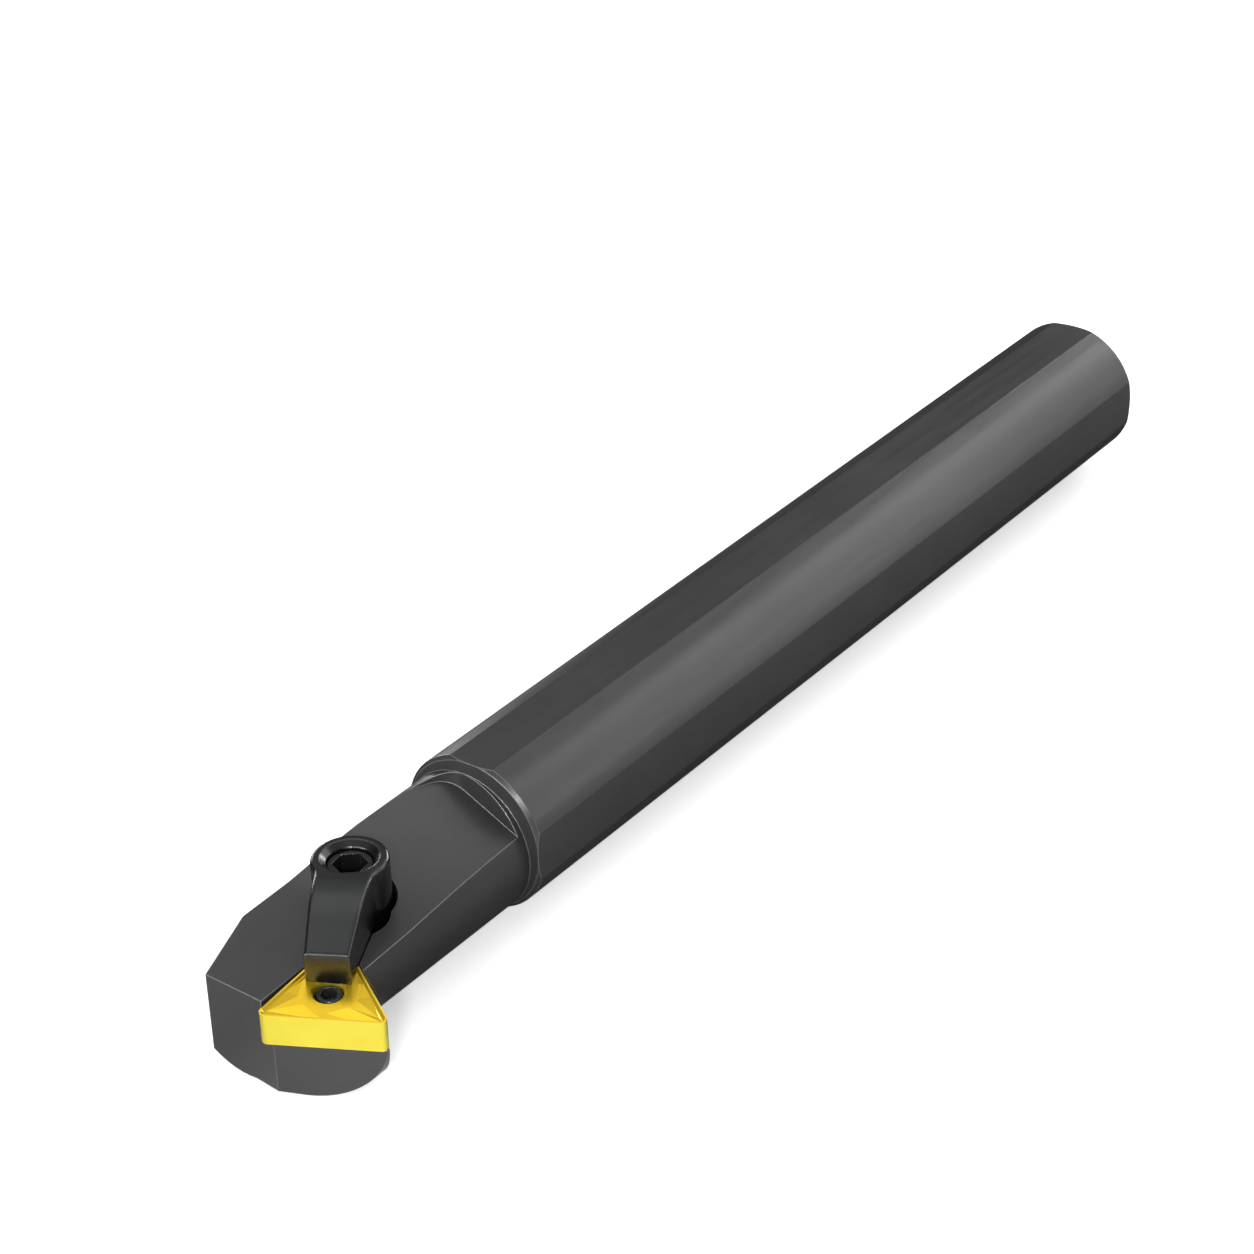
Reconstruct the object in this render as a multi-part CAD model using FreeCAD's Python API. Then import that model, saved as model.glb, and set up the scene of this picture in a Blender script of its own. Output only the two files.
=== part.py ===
"""Boring bar with a clamped triangular insert, in millimetres.

The bar lies along X. The origin is the centre of the shank's rear end face. The head points to -X,
the cutting nose is on the -Y side and +Z is up. Positions marked "from the shoulder" have their X
measured from the plane where the shank ends and the neck starts, with the head at negative X.
"""
import math
import os

import FreeCAD
import Part
from FreeCAD import Vector

# Shank
shank_diameter = 22.0
flat_depth = 0.55
shank_length = 155.4
front_chamfer = 0.5
rear_chamfer = 0.6

# Insert: standard triangle with 16.5 mm edges, negative (square sides)
insert_inscribed_diameter = 9.525
insert_thickness = 4.76
insert_nose_radius = 0.8
insert_hole_diameter = 3.81
insert_tilt_axial = 6.0
insert_tilt_radial = 6.0
insert_centre = (-36.93, -7.3, 0.70)
rim_width = 0.22
groove_width = 0.5
groove_depth = 0.22
plateau_corner = 0.85
plateau_notch_inset = 2.3
plateau_notch_along = 5.5
plateau_tooth_inset = 1.1
plateau_tooth_along = 7.85
hole_edge_break = 0.25

# Neck and head
shoulder_step = 1.05
neck_centre_y = 0.9
neck_centre_z = -1.3
front_overhang = 1.2
lobe_radius = 8.0
lobe_shift = 0.4
lobe_drop = 0.09
lobe_overhang = -0.1
head_length = 22.0
side_chamfer_depth = 4.35
side_chamfer_angle = 18.9

# Top of the head, from the shoulder: flat beside the insert, twisting up to the run-out behind the clamp
flat_height_at_shoulder = 2.99
flat_slope = 0.04
flat_roll_angle = 2.3
twist_start = -25.0
twist_end = 2.0
twist_side_height = 2.93
twist_side_y = -8.1
twist_roll_angle = 19.5
runout_gap = 0.05
runout_corner_y = 1.0
runout_angle = 6.0
runout_radius = 3.7
runout_exit_angle = 26.0

# Pocket
wall_gap_side = 0.25
wall_gap_back = 0.10
corner_relief_radius = 0.9
approach_clearance = 0.3

# Clamp
clamp_angle = 209.0
clamp_setback = 7.5
clamp_side_shift = -0.05
barrel_radius = 4.9
barrel_stand = 6.48
nose_overlap = 8.1
nose_thickness = 4.1
nose_width = 5.6
finger_root_width = 8.0
finger_blend_radius = 4.0
finger_bend_radius = 14.0
clamp_edge_radius = 0.6
countersink_margin = 1.15

# Recess for the clamp
recess_clearance = 0.4
recess_shift = 0.2
recess_depth = 3.1
recess_step_along = 3.0
recess_step_across = 0.8
recess_step_radius = 4.4
slot_clearance = 0.1
slot_depth = 0.8
slot_stop = 1.4

# Clamp screw, double ended
screw_diameter = 6.0
screw_fit = 0.03
screw_sink = 1.05
screw_end_chamfer = 0.27
screw_length = 14.6
screw_socket_flats = 4.0
screw_socket_depth = 3.2
screw_hole_spare = 1.2

# Lock pin
pin_head_play = 0.305
pin_head_offset = 0.2
pin_axis_offset = 0.085
pin_head_drop = 0.7
pin_head_chamfer = 0.2
pin_tail_radius = 2.0
pin_tail_fit = 0.03
pin_tail_length = 5.0
pin_tail_drop = 0.1
pin_socket_flats = 2.0
pin_socket_depth = 1.8
pin_hole_spare = 0.6

# Derived values
shank_radius = shank_diameter / 2
across_flats = shank_diameter - 2 * flat_depth
neck_radius = shank_radius - shoulder_step
shoulder_x = -shank_length
insert_inradius = insert_inscribed_diameter / 2
insert_edge = insert_inscribed_diameter * math.sqrt(3)
nose_forward = insert_edge / 2 - insert_nose_radius * (math.sqrt(3) - 1)
front_face_x = insert_centre[0] - nose_forward + front_overhang
lobe_centre_y = insert_centre[1] - lobe_shift
lobe_centre_z = insert_centre[2] - insert_thickness - lobe_drop
nose_reach = clamp_setback + nose_overlap
countersink_radius = barrel_radius - countersink_margin
recess_radius = barrel_radius + recess_clearance
slope_start = barrel_radius + 0.1
screw_radius = screw_diameter / 2 - screw_fit
screw_hole_radius = screw_diameter / 2
pin_head_radius = insert_hole_diameter / 2 - pin_head_play
pin_hole_radius = pin_tail_radius + pin_tail_fit
far = 60.0


def at(x, y, z):
    return Vector(shoulder_x + x, y, z)


def prism(points, z0, z1):
    corners = [Vector(x, y, z0) for x, y in points]
    return Part.Face(Part.makePolygon(corners + corners[:1])).extrude(Vector(0, 0, z1 - z0))


def side_prism(points, y0, y1):
    corners = [Vector(x, y0, z) for x, z in points]
    return Part.Face(Part.makePolygon(corners + corners[:1])).extrude(Vector(0, y1 - y0, 0))


def placed(shape, origin, ex, ey, ez):
    matrix = FreeCAD.Matrix(
        ex.x, ey.x, ez.x, origin.x,
        ex.y, ey.y, ez.y, origin.y,
        ex.z, ey.z, ez.z, origin.z,
        0, 0, 0, 1,
    )
    return shape.transformed(matrix, True)


def from_shoulder(shape):
    moved = shape.copy()
    moved.translate(Vector(shoulder_x, 0, 0))
    return moved


def hexagon(flats, z0, z1, turn=0.0):
    reach = flats / math.sqrt(3)
    angles = [math.radians(60 * i + turn) for i in range(6)]
    return prism([(reach * math.cos(a), reach * math.sin(a)) for a in angles], z0, z1)


def insert_frame():
    slope_x = math.tan(math.radians(insert_tilt_axial))
    slope_y = math.tan(math.radians(insert_tilt_radial))
    ez = Vector(-slope_x, -slope_y, 1).normalize()
    ex = Vector(1, 0, slope_x).normalize()
    return at(*insert_centre), ex, ez.cross(ex), ez


def on_insert(shape):
    return placed(shape, *insert_frame())


def insert_point(local):
    origin, ex, ey, ez = insert_frame()
    return origin + ex * local.x + ey * local.y + ez * local.z


def clamp_directions():
    turn = math.radians(clamp_angle)
    along = Vector(math.cos(turn), math.sin(turn), 0)
    return along, Vector(-along.y, along.x, 0)


def clamp_centre():
    """The barrel stands behind the insert's inner corner, on the side away from the nose."""
    along, across = clamp_directions()
    corner = insert_point(insert_corners()[2])
    centre = corner - along * clamp_setback + across * clamp_side_shift
    return Vector(centre.x, centre.y, 0)


def on_clamp(shape):
    along, across = clamp_directions()
    return placed(shape, clamp_centre(), along, across, Vector(0, 0, 1))


def insert_top_height(point):
    """Height of the insert's top plane above a point of the plan."""
    origin, ex, ey, ez = insert_frame()
    return origin.z - ((point.x - origin.x) * ez.x + (point.y - origin.y) * ez.y) / ez.z


def flat_height(x, y=0.0):
    return flat_height_at_shoulder + flat_slope * x + math.tan(math.radians(flat_roll_angle)) * y


def twist_height(x, y):
    """Height of the head's top between the flat beside the insert and the run-out."""
    t = (x - twist_start) / (twist_end - twist_start)
    share = t * t * (3 - 2 * t)
    rear = twist_side_height + math.tan(math.radians(twist_roll_angle)) * (y - twist_side_y)
    return flat_height(x, y) * (1 - share) + rear * share


def clamp_heights():
    """Floor of the recess, top of the barrel, top of the nose, top of the screw."""
    centre = clamp_centre()
    level = flat_height(centre.x - shoulder_x, centre.y)
    nose = clamp_centre() + clamp_directions()[0] * nose_reach
    floor = level - recess_depth
    top = level + barrel_stand
    return floor, top, insert_top_height(nose) + nose_thickness, top - screw_sink


def above_insert_plane():
    return on_insert(Part.makeBox(2 * far, 2 * far, far, Vector(-far, -far, 0)))


def below_insert_plane():
    return on_insert(Part.makeBox(2 * far, 2 * far, far, Vector(-far, -far, -far)))


def insert_corners():
    """Sharp corners in the insert's own frame: nose, far corner, corner under the clamp."""
    nose = Vector(-insert_edge / 2, insert_inradius, 0)
    outer = Vector(0, -2 * insert_inradius, 0)
    inner = Vector(insert_edge / 2, insert_inradius, 0)
    return nose, outer, inner


def shank():
    r = shank_radius
    outline = [
        (shoulder_x, 0),
        (shoulder_x, r - front_chamfer),
        (shoulder_x + front_chamfer, r),
        (-rear_chamfer, r),
        (0, r - rear_chamfer),
        (0, 0),
    ]
    corners = [Vector(x, 0, z) for x, z in outline]
    turned = Part.Face(Part.makePolygon(corners + corners[:1])).revolve(Vector(), Vector(1, 0, 0), 360)
    half = across_flats / 2
    flats = Part.makeBox(shank_length + 2, across_flats, across_flats, Vector(shoulder_x - 1, -half, -half))
    return turned.common(flats)


def stock_bar():
    """The neck is turned off centre, but stays inside the round bar that the shank is made from."""
    start = at(front_face_x - 3, 0, 0)
    return Part.makeCylinder(shank_radius, -front_face_x + 3, start, Vector(1, 0, 0))


def neck():
    start = at(front_face_x - 3, neck_centre_y, neck_centre_z)
    turned = Part.makeCylinder(neck_radius, -front_face_x + 3, start, Vector(1, 0, 0))
    return turned.common(stock_bar())


def tangent_points(c0, r0, c1, r1, side):
    """Points where an outer tangent of two circles touches them."""
    dx = c1[0] - c0[0]
    dz = c1[1] - c0[1]
    angle = math.atan2(dz, dx) + side * math.acos((r0 - r1) / math.hypot(dx, dz))
    nx = math.cos(angle)
    nz = math.sin(angle)
    return (c0[0] + r0 * nx, c0[1] + r0 * nz), (c1[0] + r1 * nx, c1[1] + r1 * nz)


def lobe():
    """The part of the head that carries the insert and bulges out of the neck."""
    neck_c = (neck_centre_y, neck_centre_z)
    lobe_c = (lobe_centre_y, lobe_centre_z)
    start = front_face_x - 3
    length = 3 - front_face_x - shank_radius
    upper = tangent_points(neck_c, neck_radius, lobe_c, lobe_radius, -1)
    lower = tangent_points((0, 0), shank_radius, lobe_c, lobe_radius, 1)
    ring = [upper[0], upper[1], lower[1], lower[0]]
    corners = [at(start, y, z) for y, z in ring]
    bridge = Part.Face(Part.makePolygon(corners + corners[:1])).extrude(Vector(length, 0, 0))
    along = Vector(1, 0, 0)
    tip = Part.makeCylinder(lobe_radius, length, at(start, lobe_centre_y, lobe_centre_z), along)
    full = Part.makeCylinder(neck_radius, -head_length - start, at(start, neck_centre_y, neck_centre_z), along)
    whole = bridge.fuse([tip, neck(), full]).removeSplitter()
    nose, outer, inner = insert_corners()
    back = (outer - inner).normalize()
    inward = Vector(back.y, -back.x, 0)
    p = inner - back * far + inward * lobe_overhang
    q = inner + back * far + inward * lobe_overhang
    keep = [(v.x, v.y) for v in (p, q, q + inward * far * 2, p + inward * far * 2)]
    trail = prism(keep, -far, far)
    flat_frame = (at(*insert_centre), Vector(1, 0, 0), Vector(0, 1, 0), Vector(0, 0, 1))
    return whole.common(placed(trail, *flat_frame))


def front_cuts():
    """Square front face, face under the cutting edge at the approach angle, and the left chamfer."""
    x = front_face_x
    square = from_shoulder(prism([(x, -far), (x, far), (x - far, far), (x - far, -far)], -far, far))
    nose, outer, inner = insert_corners()
    low = Vector(0, 0, -insert_thickness)
    a = insert_point(nose + low)
    b = insert_point(outer + low)
    run = Vector(b.x - a.x, b.y - a.y, 0).normalize()
    out = Vector(run.y, -run.x, 0)
    if out.x > 0:
        out = out * -1
    base = Vector(a.x, a.y, 0) - out * approach_clearance
    p = base - run * far
    q = base + run * far
    approach = prism([(v.x, v.y) for v in (p, q, q + out * far, p + out * far)], -far, far)
    start = Vector(front_face_x, neck_centre_y + neck_radius - side_chamfer_depth, 0)
    slant = math.radians(side_chamfer_angle)
    run = Vector(math.cos(slant), math.sin(slant), 0)
    out = Vector(-run.y, run.x, 0)
    p = start - run * 20
    q = start + run * 40
    left = from_shoulder(prism([(v.x, v.y) for v in (p, q, q + out * 30, p + out * 30)], -far, far))
    return [square, approach, left]


def above_flat(drop=0.0):
    """Everything above the plane of the flat beside the insert."""
    corners = [(-far, -far), (twist_end, -far), (twist_end, far), (-far, far)]
    points = [at(x, y, flat_height(x, y) - drop) for x, y in corners]
    return Part.Face(Part.makePolygon(points + points[:1])).extrude(Vector(0, 0, far))


def above_twist():
    """Everything above the head's top: the flat in front of the twist, then the twisted part."""
    corners = [(-far, -far), (twist_start, -far), (twist_start, far), (-far, far)]
    points = [at(x, y, flat_height(x, y)) for x, y in corners]
    front = Part.Face(Part.makePolygon(points + points[:1])).extrude(Vector(0, 0, far))
    steps = 9
    sides = []
    for y in (-2 * shank_radius, 2 * shank_radius):
        xs = [twist_start + (twist_end - twist_start) * i / steps for i in range(steps + 1)]
        curve = Part.BSplineCurve()
        start = Vector(1, 0, flat_slope)
        curve.interpolate(
            Points=[at(x, y, twist_height(x, y)) for x in xs],
            InitialTangent=start.normalize(),
            FinalTangent=Vector(1, 0, 0),
        )
        sides.append(curve.toShape())
    return front, Part.makeRuledSurface(sides[0], sides[1]).extrude(Vector(0, 0, far))


def top_flat():
    """What is milled off the head's top, ending at the run-out in front of the shoulder."""
    first = math.radians(90 - runout_angle)
    last = math.radians(180 - runout_exit_angle)
    corner = Vector(-runout_gap, runout_corner_y, -20)

    def turned(angle):
        return corner + Vector(math.sin(angle) - math.sin(first), math.cos(first) - math.cos(angle), 0) * runout_radius

    right = corner - Vector(math.cos(first), math.sin(first), 0) * 30
    end = turned(last)
    left = end + Vector(math.cos(last), math.sin(last), 0) * 40
    outer = Vector(-far, left.y, -20)
    low = Vector(-far, right.y, -20)
    edges = [
        Part.makeLine(low, right),
        Part.makeLine(right, corner),
        Part.Arc(corner, turned((first + last) / 2), end).toShape(),
        Part.makeLine(end, left),
        Part.makeLine(left, outer),
        Part.makeLine(outer, low),
    ]
    plan = from_shoulder(Part.Face(Part.Wire(edges)).extrude(Vector(0, 0, 60)))
    return [plan.common(piece) for piece in above_twist()]


def pocket():
    """Wedge above the insert's seat, between the two walls, open to the front and the right."""
    nose, outer, inner = insert_corners()
    back = (outer - inner).normalize()
    outward = Vector(-back.y, back.x, 0)
    side_y = insert_inradius + wall_gap_side
    p = inner + outward * wall_gap_back
    t = (side_y - p.y) / back.y
    corner = p + back * t
    tip = corner + back * far
    wedge = prism([(corner.x, corner.y), (corner.x - far, corner.y), (tip.x, tip.y)], -insert_thickness, 20)
    relief = Part.makeCylinder(corner_relief_radius, 20 + insert_thickness, corner - Vector(0, 0, insert_thickness))
    return on_insert(wedge.fuse(relief))


def clamp_recess():
    """Round pocket for the clamp's barrel, a step of it under the finger, and the finger's slot."""
    floor = clamp_heights()[0]
    barrel = Part.makeCylinder(recess_radius, 20, Vector(0, recess_shift, floor))
    step = Part.makeCylinder(recess_step_radius, 20, Vector(recess_step_along, recess_step_across, floor))
    half = finger_root_width / 2 + slot_clearance
    tip = nose_reach - slot_stop
    half_tip = half + (nose_width - finger_root_width) / 2 * tip / nose_reach
    slot = prism([(0, -half), (tip, -half_tip), (tip, half_tip), (0, half)], -20, 20)
    return [on_clamp(barrel), on_clamp(step), on_clamp(slot).common(above_flat(slot_depth))]


def bar_holes():
    screw_bottom = clamp_heights()[3] - screw_length - screw_hole_spare
    tip = screw_hole_radius * math.tan(math.radians(30))
    screw_hole = Part.makeCylinder(screw_hole_radius, 10 - screw_bottom, Vector(0, 0, screw_bottom))
    screw_cone = Part.makeCone(0, screw_hole_radius, tip, Vector(0, 0, screw_bottom - tip))
    pin_depth = pin_tail_drop + pin_tail_length + pin_hole_spare
    pin_bottom = -insert_thickness - pin_depth
    ax, ay = pin_axis()
    pin_tip = pin_hole_radius * math.tan(math.radians(30))
    pin_hole = Part.makeCylinder(pin_hole_radius, pin_depth + 1, Vector(ax, ay, pin_bottom))
    pin_cone = Part.makeCone(0, pin_hole_radius, pin_tip, Vector(ax, ay, pin_bottom - pin_tip))
    return [on_clamp(screw_hole), on_clamp(screw_cone), on_insert(pin_hole), on_insert(pin_cone)]


def bar_body():
    body = shank().fuse([neck(), lobe()]).removeSplitter()
    cuts = front_cuts() + top_flat() + [pocket()] + clamp_recess() + bar_holes()
    return body.cut(cuts).removeSplitter()


def rounded_triangle(z0, z1):
    corners = [(v.x, v.y) for v in insert_corners()]
    solid = prism(corners, z0, z1)
    upright = [e for e in solid.Edges if abs(e.BoundBox.ZLength - (z1 - z0)) < 1e-6]
    return solid.makeFillet(insert_nose_radius, upright)


def side_points(start, end, items):
    """Points given as (along, inset) from one corner of the insert to the next."""
    run = (end - start).normalize()
    inward = Vector(run.y, -run.x, 0)
    if inward.dot(start) > 0:
        inward = inward * -1
    return [start + run * s + inward * d for s, d in items]


def face(points):
    return Part.Face(Part.makePolygon(points + points[:1]))


def chip_groove():
    """Ring cut from the top face: narrow rim, groove, and a toothed slope up to the middle plateau."""
    rim = []
    groove = []
    tops = []
    corners = insert_corners()
    order = [corners[0], corners[1], corners[2]]
    steps = 4
    clear = 0.5
    e = insert_edge
    teeth = [
        (plateau_notch_along, plateau_notch_inset),
        (plateau_tooth_along, plateau_tooth_inset),
        (e - plateau_tooth_along, plateau_tooth_inset),
        (e - plateau_notch_along, plateau_notch_inset),
    ]
    for i in range(3):
        corner = order[i]
        before = order[i - 1]
        after = order[(i + 1) % 3]
        centre = corner * (1 - 2 * insert_nose_radius / corner.Length)
        normals = []
        for other in (before, after):
            run = (other - corner).normalize()
            out = Vector(run.y, -run.x, 0)
            if out.dot(corner) < 0:
                out = out * -1
            normals.append(math.atan2(out.y, out.x))
        span = (normals[1] - normals[0] + math.pi) % (2 * math.pi) - math.pi
        arc = [normals[0] + span * k / steps for k in range(steps + 1)]
        units = [Vector(math.cos(a), math.sin(a), 0) for a in arc]
        rim.append([centre + u * (insert_nose_radius - rim_width) for u in units])
        groove.append([centre + u * (insert_nose_radius - groove_width) for u in units])
        tops.append(corner * (1 - 2 * plateau_corner / corner.Length))
    down = Vector(0, 0, -groove_depth)
    up = Vector(0, 0, clear)
    faces = []
    rim_loop = []
    top_loop = []
    for i in range(3):
        j = (i + 1) % 3
        for k in range(steps):
            faces.append(face([rim[i][k], rim[i][k + 1], groove[i][k + 1] + down, groove[i][k] + down]))
            faces.append(face([groove[i][k] + down, groove[i][k + 1] + down, tops[i]]))
        under = side_points(order[i], order[j], [(s, groove_width) for s, d in teeth])
        crest = side_points(order[i], order[j], teeth)
        low = [groove[i][-1]] + under + [groove[j][0]]
        high = [tops[i]] + crest + [tops[j]]
        faces.append(face([rim[i][-1], rim[j][0]] + [p + down for p in reversed(low)]))
        for k in range(len(low) - 1):
            faces.append(face([low[k] + down, low[k + 1] + down, high[k]]))
            faces.append(face([low[k + 1] + down, high[k + 1], high[k]]))
        rim_loop += rim[i]
        top_loop += [tops[i]] + crest
    for loop in (rim_loop, top_loop):
        for k in range(len(loop)):
            p = loop[k]
            q = loop[(k + 1) % len(loop)]
            faces.append(face([p, q, q + up, p + up]))
    outer = Part.makePolygon([p + up for p in rim_loop + rim_loop[:1]])
    inner = Part.makePolygon([p + up for p in top_loop + top_loop[:1]])
    faces.append(Part.Face(outer).cut(Part.Face(inner)).Faces[0])
    shell = Part.makeShell(faces)
    shell.sewShape()
    solid = Part.makeSolid(shell)
    if solid.Volume < 0:
        solid.reverse()
    return solid


def insert():
    t = insert_thickness
    r = insert_hole_diameter / 2
    solid = rounded_triangle(-t, 0)
    hole = Part.makeCylinder(r, t + 2, Vector(0, 0, -t - 1))
    b = hole_edge_break
    lead = Part.makeCone(r, r + b + 0.5, b + 0.5, Vector(0, 0, -b))
    middle = Vector(0, 0, -t / 2)
    groove = chip_groove()
    upward = Vector(0, 0, 1)
    cuts = [hole, lead, lead.mirror(middle, upward), groove, groove.mirror(middle, upward)]
    return on_insert(solid.cut(cuts))


def pin_axis():
    return pin_axis_offset * math.cos(math.radians(30)), pin_axis_offset * math.sin(math.radians(30))


def lock_pin():
    ax, ay = pin_axis()
    shift = pin_head_offset
    hx = ax + shift * math.cos(math.radians(30))
    hy = ay + shift * math.sin(math.radians(30))
    top = -pin_head_drop
    tail_top = -insert_thickness - pin_tail_drop
    c = pin_head_chamfer
    head = Part.makeCylinder(pin_head_radius, top - c - tail_top, Vector(hx, hy, tail_top))
    rim = Part.makeCone(pin_head_radius, pin_head_radius - c, c, Vector(hx, hy, top - c))
    tail = Part.makeCylinder(pin_tail_radius, pin_tail_length, Vector(ax, ay, tail_top - pin_tail_length))
    socket = hexagon(pin_socket_flats, top - pin_socket_depth, top + 1, 15.0)
    socket.translate(Vector(hx, hy, 0))
    pin = head.fuse([rim, tail]).removeSplitter().cut(socket)
    return on_insert(pin)


def clamp_blank():
    """Plan shape of the clamp: the barrel and the tapering finger with blended sides."""
    low, high = clamp_heights()[:2]
    barrel = Part.makeCylinder(barrel_radius, high - low, Vector(0, 0, low))
    root = finger_root_width / 2
    tip = nose_width / 2
    finger = prism([(0, -root), (nose_reach, -tip), (nose_reach, tip), (0, root)], low, high)
    blank = barrel.fuse(finger).removeSplitter()
    upright = []
    for edge in blank.Edges:
        box = edge.BoundBox
        if abs(box.ZLength - (high - low)) < 1e-4 and 0 < box.Center.x < nose_reach - 0.1:
            upright.append(edge)
    return blank.makeFillet(finger_blend_radius, upright)


def finger_bend():
    """Angle of the finger's slope and the point where the bend after the barrel runs into it."""
    floor, barrel_top, nose_top, screw_top = clamp_heights()
    r = finger_bend_radius
    angle = math.atan((barrel_top - nose_top) / (nose_reach - slope_start))
    for i in range(40):
        x = slope_start + r * math.sin(angle)
        z = barrel_top - r * (1 - math.cos(angle))
        angle = math.atan((z - nose_top) / (nose_reach - x))
    return angle, x, z


def finger_top(x):
    angle, bend_x, bend_z = finger_bend()
    r = finger_bend_radius
    if x < bend_x:
        return clamp_heights()[1] - r + math.sqrt(r * r - (x - slope_start) ** 2)
    return bend_z - math.tan(angle) * (x - bend_x)


def above_finger():
    angle, bend_x, bend_z = finger_bend()
    x1 = nose_reach + 5
    y = -20
    start = Vector(slope_start, y, clamp_heights()[1])
    middle_x = (slope_start + bend_x) / 2
    end = Vector(bend_x, y, bend_z)
    tip = Vector(x1, y, finger_top(x1))
    above = [Vector(x1, y, far), Vector(slope_start, y, far)]
    edges = [
        Part.Arc(start, Vector(middle_x, y, finger_top(middle_x)), end).toShape(),
        Part.makeLine(end, tip),
        Part.makeLine(tip, above[0]),
        Part.makeLine(above[0], above[1]),
        Part.makeLine(above[1], start),
    ]
    return Part.Face(Part.Wire(edges)).extrude(Vector(0, -2 * y, 0))


def clamp():
    barrel_top = clamp_heights()[1]
    body = clamp_blank().cut(above_finger()).removeSplitter()
    top_edges = []
    for edge in body.Edges:
        box = edge.BoundBox
        middle = edge.valueAt((edge.FirstParameter + edge.LastParameter) / 2)
        on_barrel = abs(middle.z - barrel_top) < 1e-4 and box.ZLength < 1e-4
        on_finger = middle.x > slope_start and abs(middle.z - finger_top(middle.x)) < 0.02
        crease = box.XLength < 1e-4 and middle.x < nose_reach - 0.1
        if (on_barrel or on_finger) and not crease:
            top_edges.append(edge)
    body = body.makeFillet(clamp_edge_radius, top_edges)
    under = below_insert_plane().cut(on_clamp(Part.makeCylinder(barrel_radius, 2 * far, Vector(0, 0, -far))))
    bore = Part.makeCylinder(screw_hole_radius, 2 * far, Vector(0, 0, -far))
    depth = countersink_radius - screw_hole_radius
    sink = Part.makeCone(screw_hole_radius, countersink_radius, depth, Vector(0, 0, barrel_top - depth))
    return on_clamp(body.cut([bore, sink])).cut(under)


def clamp_screw():
    screw_top = clamp_heights()[3]
    r = screw_radius
    c = screw_end_chamfer
    bottom = screw_top - screw_length
    shaft = Part.makeCylinder(r, screw_length - 2 * c, Vector(0, 0, bottom + c))
    top = Part.makeCone(r, r - c, c, Vector(0, 0, screw_top - c))
    tip = Part.makeCone(r - c, r, c, Vector(0, 0, bottom))
    socket = hexagon(screw_socket_flats, screw_top - screw_socket_depth, screw_top + 1, 40.0)
    return on_clamp(shaft.fuse([top, tip]).removeSplitter().cut(socket))


os.makedirs("parts", exist_ok=True)
nodes = {
    "bar_body": bar_body(),
    "insert": insert(),
    "lock_pin": lock_pin(),
    "clamp": clamp(),
    "clamp_screw": clamp_screw(),
}
for name, shape in nodes.items():
    solid = shape.Solids[0]
    solid.exportStep("parts/" + name + ".step")
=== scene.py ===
import math

import bpy
from mathutils import Matrix, Vector


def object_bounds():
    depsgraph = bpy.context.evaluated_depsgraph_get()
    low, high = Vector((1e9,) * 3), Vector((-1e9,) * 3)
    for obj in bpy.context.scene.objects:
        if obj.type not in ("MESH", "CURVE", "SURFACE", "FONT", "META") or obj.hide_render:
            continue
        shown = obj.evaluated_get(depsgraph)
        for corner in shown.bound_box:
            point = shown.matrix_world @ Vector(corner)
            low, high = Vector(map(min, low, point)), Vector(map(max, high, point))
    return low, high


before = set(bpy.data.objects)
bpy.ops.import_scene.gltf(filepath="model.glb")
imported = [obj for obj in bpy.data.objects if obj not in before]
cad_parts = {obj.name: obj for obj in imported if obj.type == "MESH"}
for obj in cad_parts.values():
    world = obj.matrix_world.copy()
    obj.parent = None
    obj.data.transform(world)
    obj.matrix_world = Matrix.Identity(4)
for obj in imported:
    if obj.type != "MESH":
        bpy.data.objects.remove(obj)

cad_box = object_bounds()

# Camera at the photograph's view: sensor and lens in millimetres, place in metres, axes as directions
CAM_SENSOR = 36.0
CAM_LENS = 92.9883
CAM_PLACE = (-0.419168, -0.225501, 0.230087)
CAM_RIGHT = (0.5887957, -0.8076797, -0.0311958)
CAM_UP = (0.4207758, 0.2733341, 0.8650065)
CAM_BACK = (-0.6901213, -0.5224385, 0.50079)
CAM_NEAR = 0.01
CAM_FAR = 50.0

# Direction out of the insert's top face, which leans 6 degrees both ways
INSERT_AXIS = (-0.1040, -0.1040, 0.9891)
# A normal whose share along that axis is over this belongs to the top or the underside
INSERT_FACE_SHARE = 0.8

# Edges sharper than these angles stay crisp, in degrees
CRISP_ANGLE = 12.0
CRISP_FACET_ANGLE = 3.0

# Cosine between rounded and true normal where an edge highlight starts and where it is full
EDGE_START = 0.995
EDGE_FULL = 0.93
EDGE_SAMPLES = 6

# Range that most values of a noise texture lie in
NOISE_LOW = 0.3
NOISE_HIGH = 0.7

# Steel: scale of the cloudy variation, weight and relief of the grain
CLOUD_SCALE = 45.0
GRAIN_WEIGHT = 0.35
GRAIN_BUMP = 0.10
GRAIN_HEIGHT = 0.00003
STEEL_DARK_STOP = 0.45
STEEL_LIGHT_STOP = 0.95

# Directions of grain: long streaks along the bar, or even specks
ALONG_BAR = (30.0, 600.0, 600.0)
FORGED = (400.0, 400.0, 400.0)
BAR_GRAIN_SCALE = 2.0
FORGED_GRAIN_SCALE = 3.0
# Light gray mixed into the steel along its edges: a painted edge highlight
PAINTED_EDGE_HIGHLIGHT = (0.30, 0.295, 0.29)

# Coated carbide: colours of the top and underside, and the paler side colour that paints a highlight on
# the flanks, as (place in the noise, colour)
CARBIDE_METAL = 0.8
CARBIDE_ROUGH = (0.23, 0.26)
CARBIDE_CLOUD_SCALE = 160.0
CARBIDE_GRAIN_SCALE = 1500.0
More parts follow.
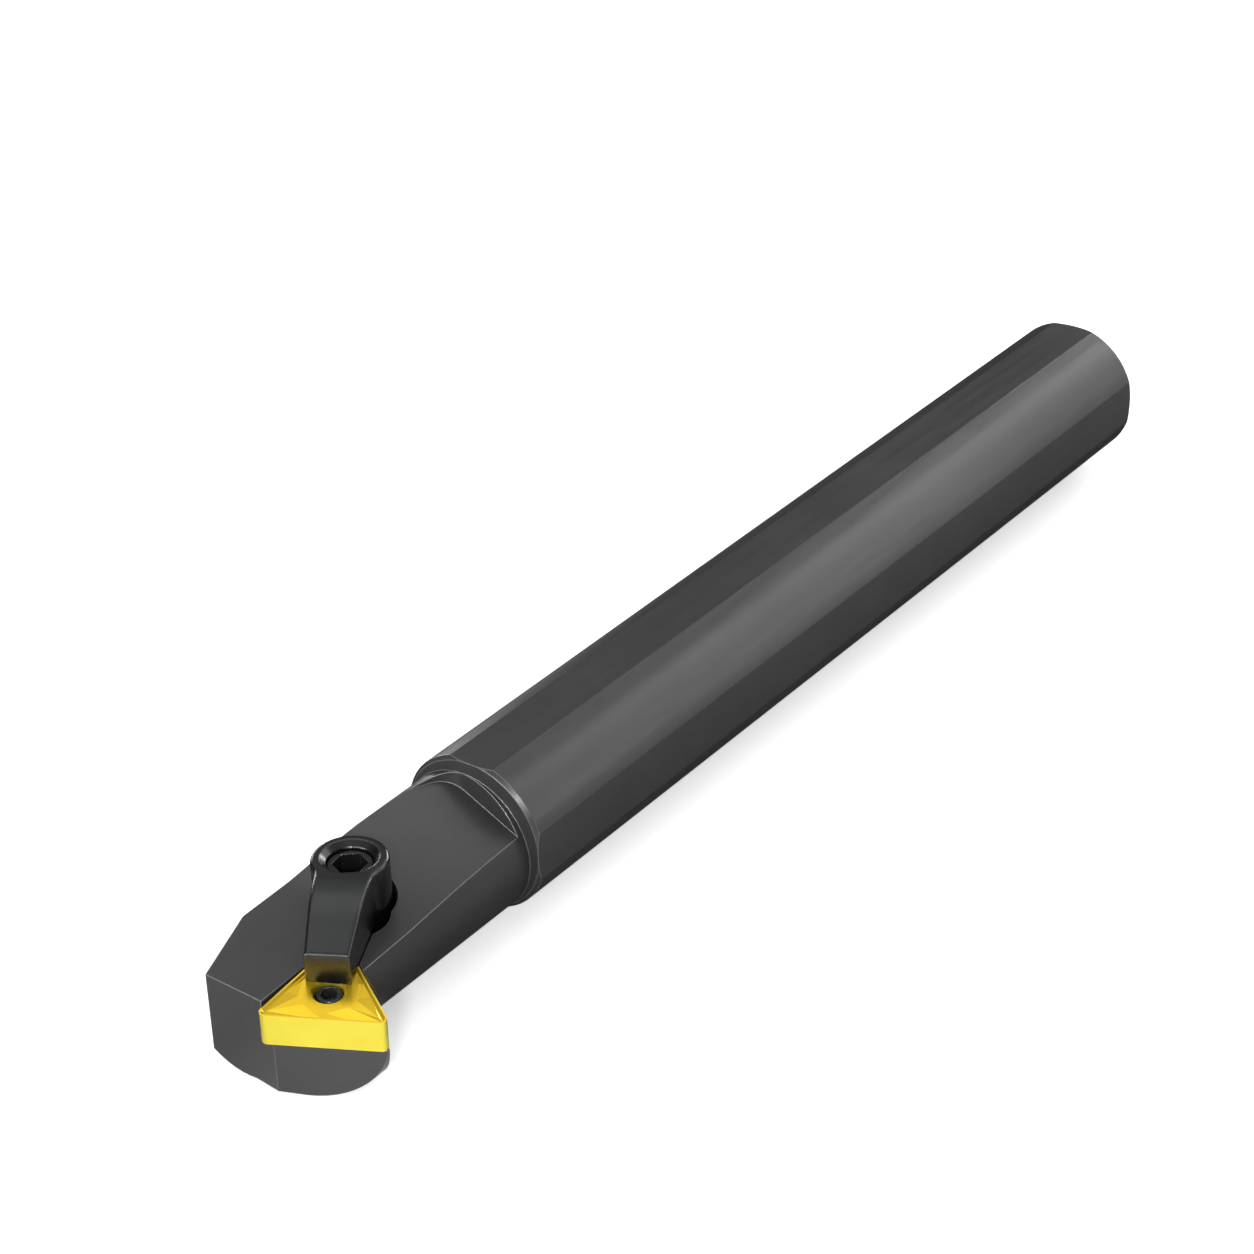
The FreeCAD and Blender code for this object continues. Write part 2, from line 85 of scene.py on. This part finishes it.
# Pale yellow mixed into the gold along the insert's edges, and how much of it: a painted edge highlight
CARBIDE_PAINTED_HIGHLIGHT = (1.0, 0.88, 0.25)
CARBIDE_PAINTED_HIGHLIGHT_SHARE = 0.55
CARBIDE_EDGE_RADIUS = 0.00008
TOP_GOLD = [(0.35, (0.82, 0.54, 0.020)), (0.65, (0.88, 0.59, 0.028))]
LIT_SIDE_GOLD = [(0.35, (0.82, 0.69, 0.058)), (0.65, (0.86, 0.73, 0.072))]
# Shares of the normal along the insert's axis between which the painted paler side colour turns into the
# top colour
SIDE_TO_TOP = (0.15, 0.60)


def new_material(name):
    mat = bpy.data.materials.new(name)
    mat.use_nodes = True
    nodes = mat.node_tree.nodes
    nodes.clear()
    out = nodes.new("ShaderNodeOutputMaterial")
    shader = nodes.new("ShaderNodeBsdfPrincipled")
    mat.node_tree.links.new(shader.outputs[0], out.inputs[0])
    return mat, nodes, mat.node_tree.links, shader


def position(nodes):
    return nodes.new("ShaderNodeTexCoord").outputs["Object"]


def noise(nodes, links, vector, scale, detail, rough):
    node = nodes.new("ShaderNodeTexNoise")
    node.inputs["Scale"].default_value = scale
    node.inputs["Detail"].default_value = detail
    node.inputs["Roughness"].default_value = rough
    links.new(vector, node.inputs["Vector"])
    return node.outputs["Fac"]


def stretch(nodes, links, vector, scale):
    node = nodes.new("ShaderNodeMapping")
    node.inputs["Scale"].default_value = scale
    links.new(vector, node.inputs["Vector"])
    return node.outputs["Vector"]


def remap(nodes, links, value, a, b, lo, hi):
    """The value's range a to b becomes lo to hi, clamped at both ends."""
    node = nodes.new("ShaderNodeMapRange")
    for key, number in (("From Min", a), ("From Max", b), ("To Min", lo), ("To Max", hi)):
        node.inputs[key].default_value = number
    links.new(value, node.inputs["Value"])
    return node.outputs["Result"]


def ramp(nodes, links, value, stops):
    node = nodes.new("ShaderNodeValToRGB")
    band = node.color_ramp
    while len(band.elements) < len(stops):
        band.elements.new(0.5)
    for element, (place, color) in zip(band.elements, stops):
        element.position = place
        element.color = (*color, 1.0)
    links.new(value, node.inputs["Fac"])
    return node.outputs["Color"]


def mix_colors(nodes, links, factor, a, b):
    node = nodes.new("ShaderNodeMix")
    node.data_type = "RGBA"
    links.new(factor, node.inputs[0])
    for socket, value in ((node.inputs[6], a), (node.inputs[7], b)):
        if isinstance(value, tuple):
            socket.default_value = (*value, 1.0)
        else:
            links.new(value, socket)
    return node.outputs[2]


def dot(nodes, links, vector, direction):
    """Dot product of a vector with another one, given as a socket or as fixed numbers."""
    node = nodes.new("ShaderNodeVectorMath")
    node.operation = "DOT_PRODUCT"
    links.new(vector, node.inputs[0])
    if isinstance(direction, tuple):
        node.inputs[1].default_value = direction
    else:
        links.new(direction, node.inputs[1])
    return node.outputs["Value"]


def edge_mask(nodes, links, radius):
    """1 along the edges of the piece, 0 away from them; also returns the rounded normal."""
    rounded = nodes.new("ShaderNodeBevel")
    rounded.samples = EDGE_SAMPLES
    rounded.inputs["Radius"].default_value = radius
    geometry = nodes.new("ShaderNodeNewGeometry")
    turn = dot(nodes, links, rounded.outputs["Normal"], geometry.outputs["Normal"])
    mask = remap(nodes, links, turn, EDGE_START, EDGE_FULL, 0.0, 1.0)
    return mask, rounded.outputs["Normal"]


def bump(nodes, links, height, strength, distance, shader, normal):
    node = nodes.new("ShaderNodeBump")
    node.inputs["Strength"].default_value = strength
    node.inputs["Distance"].default_value = distance
    links.new(height, node.inputs["Height"])
    links.new(normal, node.inputs["Normal"])
    links.new(node.outputs["Normal"], shader.inputs["Normal"])


def steel(name, metal, low, high, rough, grain, grain_scale, painted_highlight_share, edge_radius):
    """Dark oxide steel with fine grain, soft cloudy variation, and a painted highlight that lightens the
    colour along the edges.
    """
    mat, nodes, links, shader = new_material(name)
    pos = position(nodes)
    cloud = noise(nodes, links, pos, CLOUD_SCALE, detail=5.0, rough=0.55)
    fine = noise(nodes, links, stretch(nodes, links, pos, grain), grain_scale, detail=6.0, rough=0.65)
    mixed = nodes.new("ShaderNodeMath")
    mixed.operation = "MULTIPLY_ADD"
    links.new(fine, mixed.inputs[0])
    mixed.inputs[1].default_value = GRAIN_WEIGHT
    links.new(cloud, mixed.inputs[2])
    mask, normal = edge_mask(nodes, links, edge_radius)
    # Along the edges the base colour is lightened toward a light gray: a painted highlight
    share = remap(nodes, links, mask, 0.0, 1.0, 0.0, painted_highlight_share)
    body = ramp(nodes, links, mixed.outputs[0], [(STEEL_DARK_STOP, low), (STEEL_LIGHT_STOP, high)])
    links.new(mix_colors(nodes, links, share, body, PAINTED_EDGE_HIGHLIGHT), shader.inputs["Base Color"])
    links.new(remap(nodes, links, fine, NOISE_LOW, NOISE_HIGH, *rough), shader.inputs["Roughness"])
    shader.inputs["Metallic"].default_value = metal
    bump(nodes, links, fine, GRAIN_BUMP, GRAIN_HEIGHT, shader, normal)
    return mat


def coated_carbide(name):
    """Gold coating: deeper on the top and underside, paler and greener on the side faces as a painted
    highlight, with a painted highlight along the edges.
    """
    mat, nodes, links, shader = new_material(name)
    pos = position(nodes)
    cloud = noise(nodes, links, pos, CARBIDE_CLOUD_SCALE, detail=6.0, rough=0.6)
    fine = noise(nodes, links, pos, CARBIDE_GRAIN_SCALE, detail=3.0, rough=0.6)
    # Along the edges the gold is lightened toward pale yellow: a painted highlight
    mask = edge_mask(nodes, links, CARBIDE_EDGE_RADIUS)[0]
    share = remap(nodes, links, mask, 0.0, 1.0, 0.0, CARBIDE_PAINTED_HIGHLIGHT_SHARE)
    # Top and underside keep the deeper gold; the side faces get a paler gold, a painted highlight on the
    # flanks
    top_gold = ramp(nodes, links, cloud, TOP_GOLD)
    lit_side = ramp(nodes, links, cloud, LIT_SIDE_GOLD)
    geometry = nodes.new("ShaderNodeNewGeometry")
    level = nodes.new("ShaderNodeMath")
    level.operation = "ABSOLUTE"
    links.new(dot(nodes, links, geometry.outputs["True Normal"], INSERT_AXIS), level.inputs[0])
    top = remap(nodes, links, level.outputs[0], *SIDE_TO_TOP, 0.0, 1.0)
    body = mix_colors(nodes, links, top, lit_side, top_gold)
    links.new(mix_colors(nodes, links, share, body, CARBIDE_PAINTED_HIGHLIGHT), shader.inputs["Base Color"])
    rough = remap(nodes, links, fine, NOISE_LOW, NOISE_HIGH, *CARBIDE_ROUGH)
    links.new(rough, shader.inputs["Roughness"])
    shader.inputs["Metallic"].default_value = CARBIDE_METAL
    return mat


def dress(node, mat):
    """Give a node its material, and keep its edges crisp where its faces meet at an angle."""
    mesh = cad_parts[node].data
    mesh.materials.clear()
    mesh.materials.append(mat)
    mesh.shade_smooth()
    axis = Vector(INSERT_AXIS)
    sides = {}
    for polygon in mesh.polygons:
        for key in polygon.edge_keys:
            sides.setdefault(key, []).append(polygon.normal)
    for edge in mesh.edges:
        normals = sides[edge.key]
        limit = CRISP_ANGLE
        if node == "insert" and all(abs(n.dot(axis)) > INSERT_FACE_SHARE for n in normals):
            limit = CRISP_FACET_ANGLE
        edge.use_edge_sharp = len(normals) != 2 or normals[0].angle(normals[1], 0.0) > math.radians(limit)


bar_steel = steel(
    "bar_steel", metal=0.5, low=(0.050, 0.0485, 0.0485), high=(0.066, 0.0645, 0.0645), rough=(0.28, 0.38),
    grain=ALONG_BAR, grain_scale=BAR_GRAIN_SCALE, painted_highlight_share=0.7, edge_radius=0.00022,
)
clamp_steel = steel(
    "clamp_steel", metal=0.95, low=(0.047, 0.048, 0.048), high=(0.061, 0.062, 0.062), rough=(0.22, 0.28),
    grain=FORGED, grain_scale=FORGED_GRAIN_SCALE, painted_highlight_share=0.25, edge_radius=0.00026,
)
screw_steel = steel(
    "screw_steel", metal=0.6, low=(0.018, 0.018, 0.018), high=(0.030, 0.030, 0.030), rough=(0.24, 0.34),
    grain=FORGED, grain_scale=FORGED_GRAIN_SCALE, painted_highlight_share=0.5, edge_radius=0.00008,
)
pin_steel = steel(
    "pin_steel", metal=0.6, low=(0.045, 0.045, 0.046), high=(0.065, 0.065, 0.066), rough=(0.26, 0.36),
    grain=FORGED, grain_scale=FORGED_GRAIN_SCALE, painted_highlight_share=0.6, edge_radius=0.00008,
)
gold = coated_carbide("gold_carbide")

dress("bar_body", bar_steel)
dress("clamp", clamp_steel)
dress("clamp_screw", screw_steel)
dress("lock_pin", pin_steel)
dress("insert", gold)


# Floor: plain white paper that keeps the object's shadow. Glossy rays see a card in its place, dim
# under the shank, brighter on its right side, and brightest ahead of the head on the right.
FLOOR_HALF = 6.0
PAPER_WHITE = 0.9
PAPER_GLOW = 0.45
# Two places in metres and the card's level at each: beside the shank and ahead of the head, both
# across the bar, then along it how much of the card is the part ahead
CARD_BESIDE = (-0.032, -0.012, 0.45, 0.05)
CARD_AHEAD = (-0.008, 0.008, 1.04, 0.45)
CARD_FRONT = (-0.178, -0.194, 0.0, 1.0)


def make_floor():
    low = cad_box[0][2]
    s = FLOOR_HALF
    mesh = bpy.data.meshes.new("floor")
    mesh.from_pydata([(-s, -s, low), (s, -s, low), (s, s, low), (-s, s, low)], [], [(0, 1, 2, 3)])
    floor = bpy.data.objects.new("floor", mesh)
    bpy.context.scene.collection.objects.link(floor)
    mat = bpy.data.materials.new("floor_paper")
    mat.use_nodes = True
    nodes = mat.node_tree.nodes
    links = mat.node_tree.links
    nodes.clear()
    out = nodes.new("ShaderNodeOutputMaterial")
    paper = nodes.new("ShaderNodeBsdfDiffuse")
    paper.inputs["Color"].default_value = (PAPER_WHITE, PAPER_WHITE, PAPER_WHITE, 1.0)
    glow = nodes.new("ShaderNodeEmission")
    glow.inputs["Color"].default_value = (1.0, 1.0, 1.0, 1.0)
    glow.inputs["Strength"].default_value = PAPER_GLOW
    bright = nodes.new("ShaderNodeAddShader")
    links.new(paper.outputs[0], bright.inputs[0])
    links.new(glow.outputs[0], bright.inputs[1])
    split = nodes.new("ShaderNodeSeparateXYZ")
    links.new(position(nodes), split.inputs[0])
    beside = remap(nodes, links, split.outputs["Y"], *CARD_BESIDE)
    ahead = remap(nodes, links, split.outputs["Y"], *CARD_AHEAD)
    front = remap(nodes, links, split.outputs["X"], *CARD_FRONT)
    card = mix_colors(nodes, links, front, beside, ahead)
    seen = nodes.new("ShaderNodeEmission")
    links.new(card, seen.inputs["Color"])
    path = nodes.new("ShaderNodeLightPath")
    to_camera = nodes.new("ShaderNodeMixShader")
    links.new(path.outputs["Is Camera Ray"], to_camera.inputs[0])
    links.new(paper.outputs[0], to_camera.inputs[1])
    links.new(bright.outputs[0], to_camera.inputs[2])
    mirrored = nodes.new("ShaderNodeMixShader")
    links.new(path.outputs["Is Glossy Ray"], mirrored.inputs[0])
    links.new(to_camera.outputs[0], mirrored.inputs[1])
    links.new(seen.outputs[0], mirrored.inputs[2])
    links.new(mirrored.outputs[0], out.inputs[0])
    mesh.materials.append(mat)


make_floor()

# Soft boxes: name, place, target, length, width, direction of the long side, radiance
MIDDLE = (-0.10, 0.0, 0.0)
HEAD = (-0.185, 0.0, 0.0)
SOFT_BOXES = [
    ("key", (0.64, -0.53, 0.37), MIDDLE, 0.92, 0.46, (0.0, 0.72, 0.69), 2.3),
    ("edge", (-0.021, 0.309, 0.040), HEAD, 0.16, 0.09, (0.88, -0.47, 0.0), 7.0),
    ("rim", (0.97, 0.06, 0.30), HEAD, 0.5, 0.25, (0.0, 1.0, 0.0), 14.0),
    ("front", (-0.95, -0.75, 0.55), HEAD, 0.7, 0.5, (0.6, -0.8, 0.0), 2.0),
    ("spark", (-0.803, -0.437, 0.455), HEAD, 0.10, 0.07, (0.6, -0.8, 0.0), 130.0),
    ("fill", (-1.25, 0.15, 0.36), HEAD, 1.0, 0.45, (0.0, 1.0, 0.0), 8.0),
]


def soft_box(name, place, target, length, width, along, radiance):
    """Area light facing the target, its long side turned to lie along the given direction."""
    light = bpy.data.lights.new(name, "AREA")
    light.shape = "RECTANGLE"
    light.size = length
    light.size_y = width
    light.energy = radiance * math.pi * length * width
    obj = bpy.data.objects.new(name, light)
    bpy.context.scene.collection.objects.link(obj)
    away = (Vector(place) - Vector(target)).normalized()
    side = Vector(along) - away * Vector(along).dot(away)
    side.normalize()
    turn = Matrix((side, away.cross(side), away)).transposed().to_4x4()
    obj.matrix_world = Matrix.Translation(place) @ turn


for row in SOFT_BOXES:
    soft_box(*row)

# Sky: brightness by height, the sine of the elevation, slightly cool, and dimmer on the camera's side
SKY = [
    (0.0, 0.02), (0.25, 0.07), (0.50, 0.13), (0.58, 0.58),
    (0.66, 0.70), (0.74, 0.66), (0.84, 1.4), (1.0, 1.4),
]
SKY_TINT = (0.98, 0.985, 1.0)
SKY_BRIGHT_SIDE = (0.8, 0.6, 0.0)
SKY_SIDE_CHANGE = (-0.3, 0.3, 0.45, 1.0)


def make_world():
    world = bpy.data.worlds.new("studio")
    bpy.context.scene.world = world
    world.use_nodes = True
    nodes = world.node_tree.nodes
    links = world.node_tree.links
    nodes.clear()
    out = nodes.new("ShaderNodeOutputWorld")
    path = nodes.new("ShaderNodeLightPath")
    mix = nodes.new("ShaderNodeMixShader")
    way = nodes.new("ShaderNodeTexCoord").outputs["Generated"]
    split = nodes.new("ShaderNodeSeparateXYZ")
    links.new(way, split.inputs[0])
    stops = [(height, tuple(tint * level for tint in SKY_TINT)) for height, level in SKY]
    color = ramp(nodes, links, split.outputs["Z"], stops)
    lit = nodes.new("ShaderNodeBackground")
    links.new(color, lit.inputs["Color"])
    side = dot(nodes, links, way, SKY_BRIGHT_SIDE)
    links.new(remap(nodes, links, side, *SKY_SIDE_CHANGE), lit.inputs["Strength"])
    white = nodes.new("ShaderNodeBackground")
    white.inputs["Color"].default_value = (1.0, 1.0, 1.0, 1.0)
    white.inputs["Strength"].default_value = 1.0
    links.new(path.outputs["Is Camera Ray"], mix.inputs[0])
    links.new(lit.outputs[0], mix.inputs[1])
    links.new(white.outputs[0], mix.inputs[2])
    links.new(mix.outputs[0], out.inputs[0])


make_world()


def make_camera():
    data = bpy.data.cameras.new("camera")
    data.sensor_width = CAM_SENSOR
    data.lens = CAM_LENS
    data.clip_start = CAM_NEAR
    data.clip_end = CAM_FAR
    camera = bpy.data.objects.new("camera", data)
    bpy.context.scene.collection.objects.link(camera)
    turn = Matrix((CAM_RIGHT, CAM_UP, CAM_BACK)).transposed().to_4x4()
    camera.matrix_world = Matrix.Translation(CAM_PLACE) @ turn
    bpy.context.scene.camera = camera


make_camera()
bpy.context.scene.view_settings.view_transform = "Standard"
